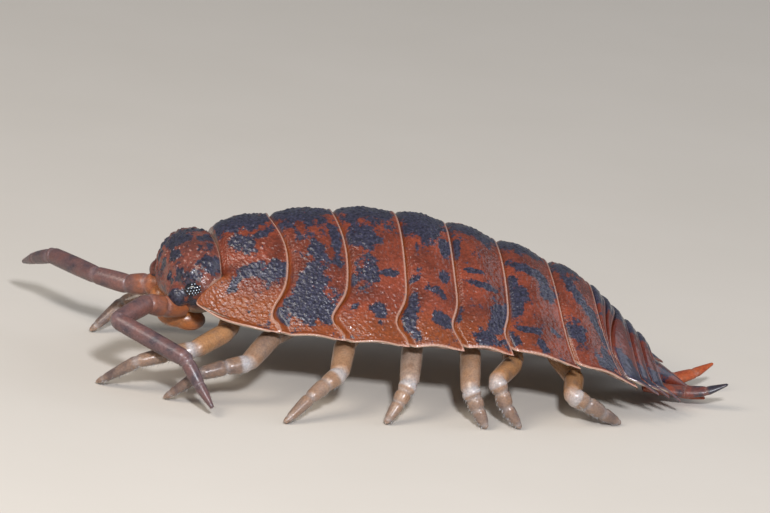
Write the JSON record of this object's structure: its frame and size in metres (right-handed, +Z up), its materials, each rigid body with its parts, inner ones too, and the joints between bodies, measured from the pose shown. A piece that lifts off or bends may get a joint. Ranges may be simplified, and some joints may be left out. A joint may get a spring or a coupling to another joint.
{
  "type": "woodlouse",
  "caption": "Rough woodlouse standing on its feet, orange mottled shell plates, elbowed feelers, forked tail: a still life-size model.",
  "frame": {"origin": "on the floor under the middle of the bounding box", "axes": "+Z up, head towards -X, the animal's left side towards -Y"},
  "size_m": [0.02, 0.0104, 0.005],
  "materials": {
    "back_cuticle": "orange to rust shell plates with slate mottling, satin with fine glossy granules",
    "head_cuticle": "dark mottled rust shell with coarse tubercles, satin",
    "tail_cuticle": "red-orange shell with slate bands, satin",
    "leg_cuticle": "pale tan-grey translucent cuticle, satin",
    "gill_plates": "pale thin plates, satin",
    "mouthparts": "orange-brown cuticle, satin",
    "antenna_cuticle": "purplish grey-brown cuticle with short bristles, satin",
    "uropod_cuticle": "orange-brown cuticle, satin",
    "eye": "black compound eye, glossy"
  },
  "bodies": {
    "root": {"cephalon": "head_cuticle", "mouthparts": "mouthparts", "pereonite_1": "back_cuticle", "pereonite_2": "back_cuticle", "pereonite_3": "back_cuticle", "pereonite_4": "back_cuticle", "pereonite_5": "back_cuticle", "pereonite_6": "back_cuticle", "pereonite_7": "back_cuticle", "pleonite_1": "tail_cuticle", "pleonite_2": "tail_cuticle", "pleonite_3": "tail_cuticle", "pleonite_4": "tail_cuticle", "pleonite_5": "tail_cuticle", "telson": "tail_cuticle", "eye_left": "eye", "antenna_left_peduncle": "antenna_cuticle", "antenna_left_flagellum": "antenna_cuticle", "leg_left_1": "leg_cuticle", "leg_left_2": "leg_cuticle", "leg_left_3": "leg_cuticle", "leg_left_4": "leg_cuticle", "leg_left_5": "leg_cuticle", "leg_left_6": "leg_cuticle", "leg_left_7": "leg_cuticle", "uropod_left": "uropod_cuticle", "pleopod_left_1": "gill_plates", "pleopod_left_2": "gill_plates", "pleopod_left_3": "gill_plates", "pleopod_left_4": "gill_plates", "pleopod_left_5": "gill_plates", "eye_right": "eye", "antenna_right_peduncle": "antenna_cuticle", "antenna_right_flagellum": "antenna_cuticle", "leg_right_1": "leg_cuticle", "leg_right_2": "leg_cuticle", "leg_right_3": "leg_cuticle", "leg_right_4": "leg_cuticle", "leg_right_5": "leg_cuticle", "leg_right_6": "leg_cuticle", "leg_right_7": "leg_cuticle", "uropod_right": "uropod_cuticle", "pleopod_right_1": "gill_plates", "pleopod_right_2": "gill_plates", "pleopod_right_3": "gill_plates", "pleopod_right_4": "gill_plates", "pleopod_right_5": "gill_plates"}
  },
  "joints": []
}
